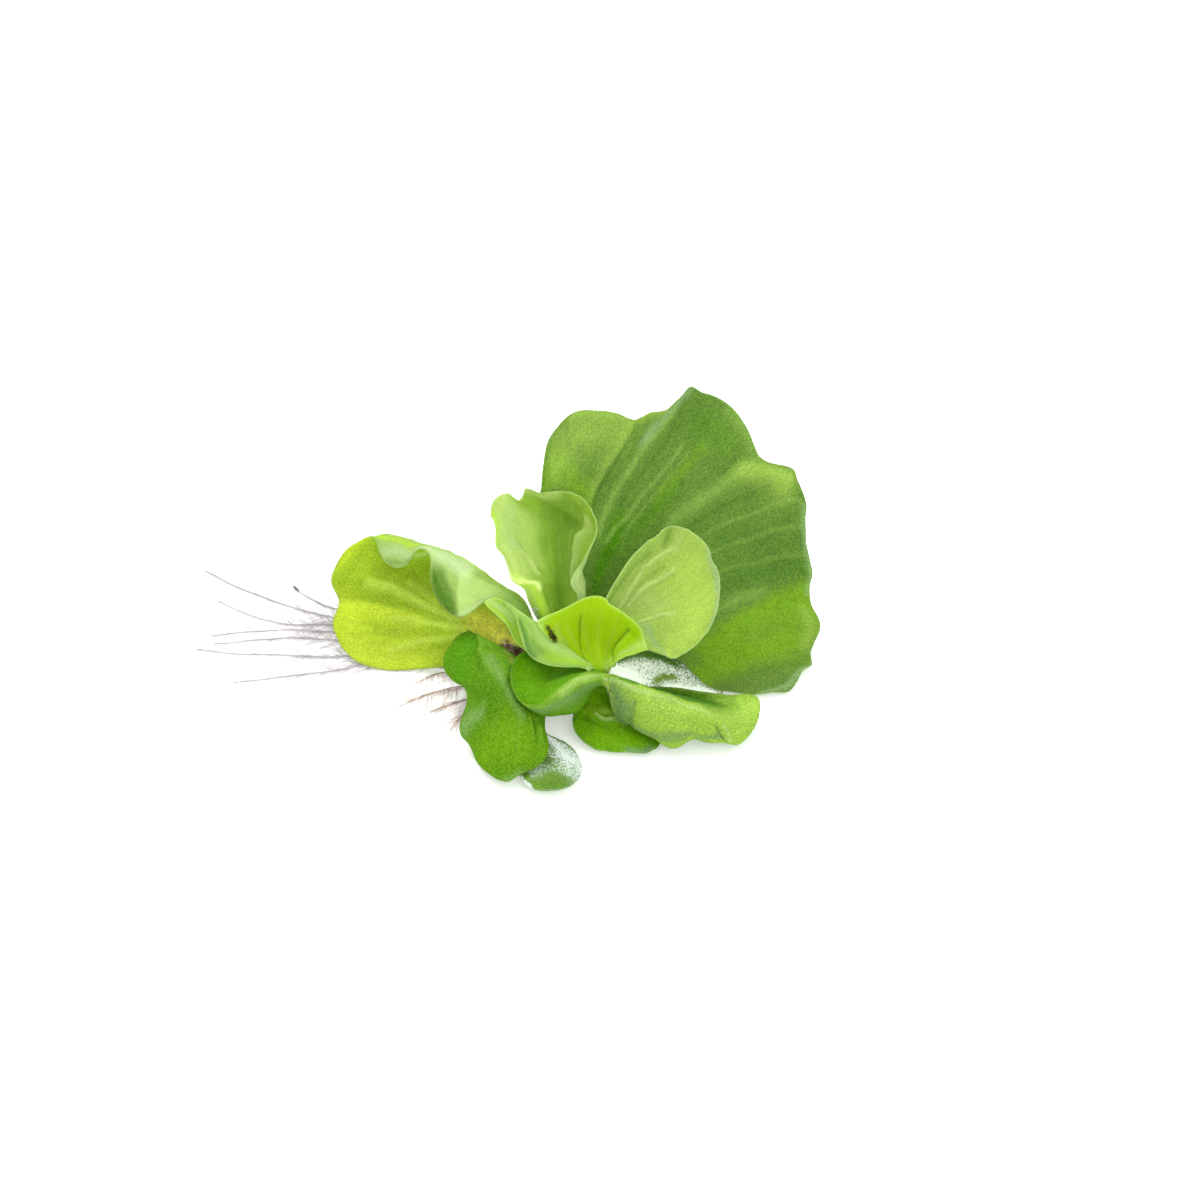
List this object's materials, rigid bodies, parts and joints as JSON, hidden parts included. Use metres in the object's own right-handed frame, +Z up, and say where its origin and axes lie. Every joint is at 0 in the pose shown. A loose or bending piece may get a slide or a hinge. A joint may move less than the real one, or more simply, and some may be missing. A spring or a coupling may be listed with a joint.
{
  "type": "water lettuce plant",
  "caption": "Rosette of velvety, veined leaves round a short crown, with thin roots trailing to one side, set down on a table.",
  "frame": {"origin": "on the table, under the old end of the crown, where its blunt underside rests", "axes": "+Z up from the table; -Y towards the viewer who looks into the open rosette; the roots trail towards -X"},
  "size_m": [0.16, 0.0906, 0.0553],
  "materials": {
    "leaf_green": "velvety green leaf",
    "leaf_young": "velvety pale green leaf",
    "leaf_old": "velvety yellow-green leaf",
    "leaf_silvery": "silvery, downy leaf",
    "crown": "rough brown stem",
    "root": "thin grey-brown root"
  },
  "bodies": {
    "root": {"leaf_back": "leaf_green", "leaf_front_left": "leaf_green", "leaf_front_right": "leaf_green", "leaf_scoop": "leaf_green", "leaf_low_front": "leaf_green", "leaf_inner_left": "leaf_young", "leaf_inner_right": "leaf_young", "leaf_heart": "leaf_young", "leaf_folded": "leaf_young", "leaf_left": "leaf_old", "leaf_low_left": "leaf_silvery", "leaf_low_right": "leaf_silvery", "crown": "crown", "root_01": "root", "root_02": "root", "root_03": "root", "root_04": "root", "root_05": "root", "root_06": "root", "root_07": "root", "root_08": "root", "root_09": "root", "root_10": "root", "root_11": "root", "root_12": "root", "root_13": "root"}
  },
  "joints": []
}
